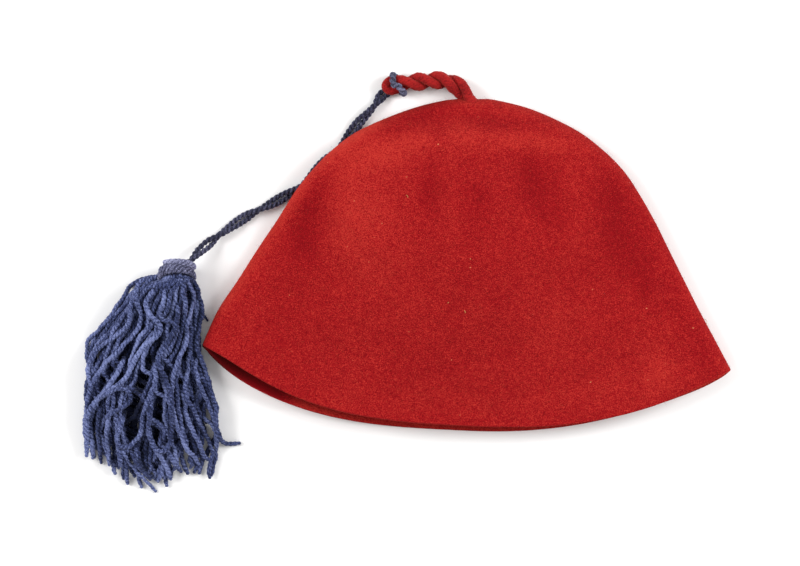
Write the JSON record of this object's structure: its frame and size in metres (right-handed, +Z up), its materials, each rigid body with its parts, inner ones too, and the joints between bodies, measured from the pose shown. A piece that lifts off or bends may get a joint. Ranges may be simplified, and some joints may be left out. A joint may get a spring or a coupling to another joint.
{
  "type": "soft felt fez hat with a cord and tassel",
  "caption": "Soft moulded felt cap pressed flat on its side, open at the mouth, with a twisted crown loop, a free cord and a yarn tassel.",
  "frame": {"origin": "on the floor, under the middle of the cap and its crown loop", "axes": "+X across the pressed cap towards its right rim corner, +Y towards the crown, +Z up through the cap's upper wall, -Z out of the flat wall that it lies on"},
  "size_m": [0.3312, 0.2139, 0.0328],
  "materials": {
    "red_felt": "fulled wool felt with a short soft nap",
    "red_yarn": "thick twisted wool yarn",
    "blue_yarn": "two-ply wool yarn"
  },
  "bodies": {
    "root": {"felt_cap": "red_felt", "crown_loop": "red_yarn", "cord_hitch": "blue_yarn", "tassel_cord": "blue_yarn", "tassel_binding": "blue_yarn", "tassel": "blue_yarn"}
  },
  "joints": []
}
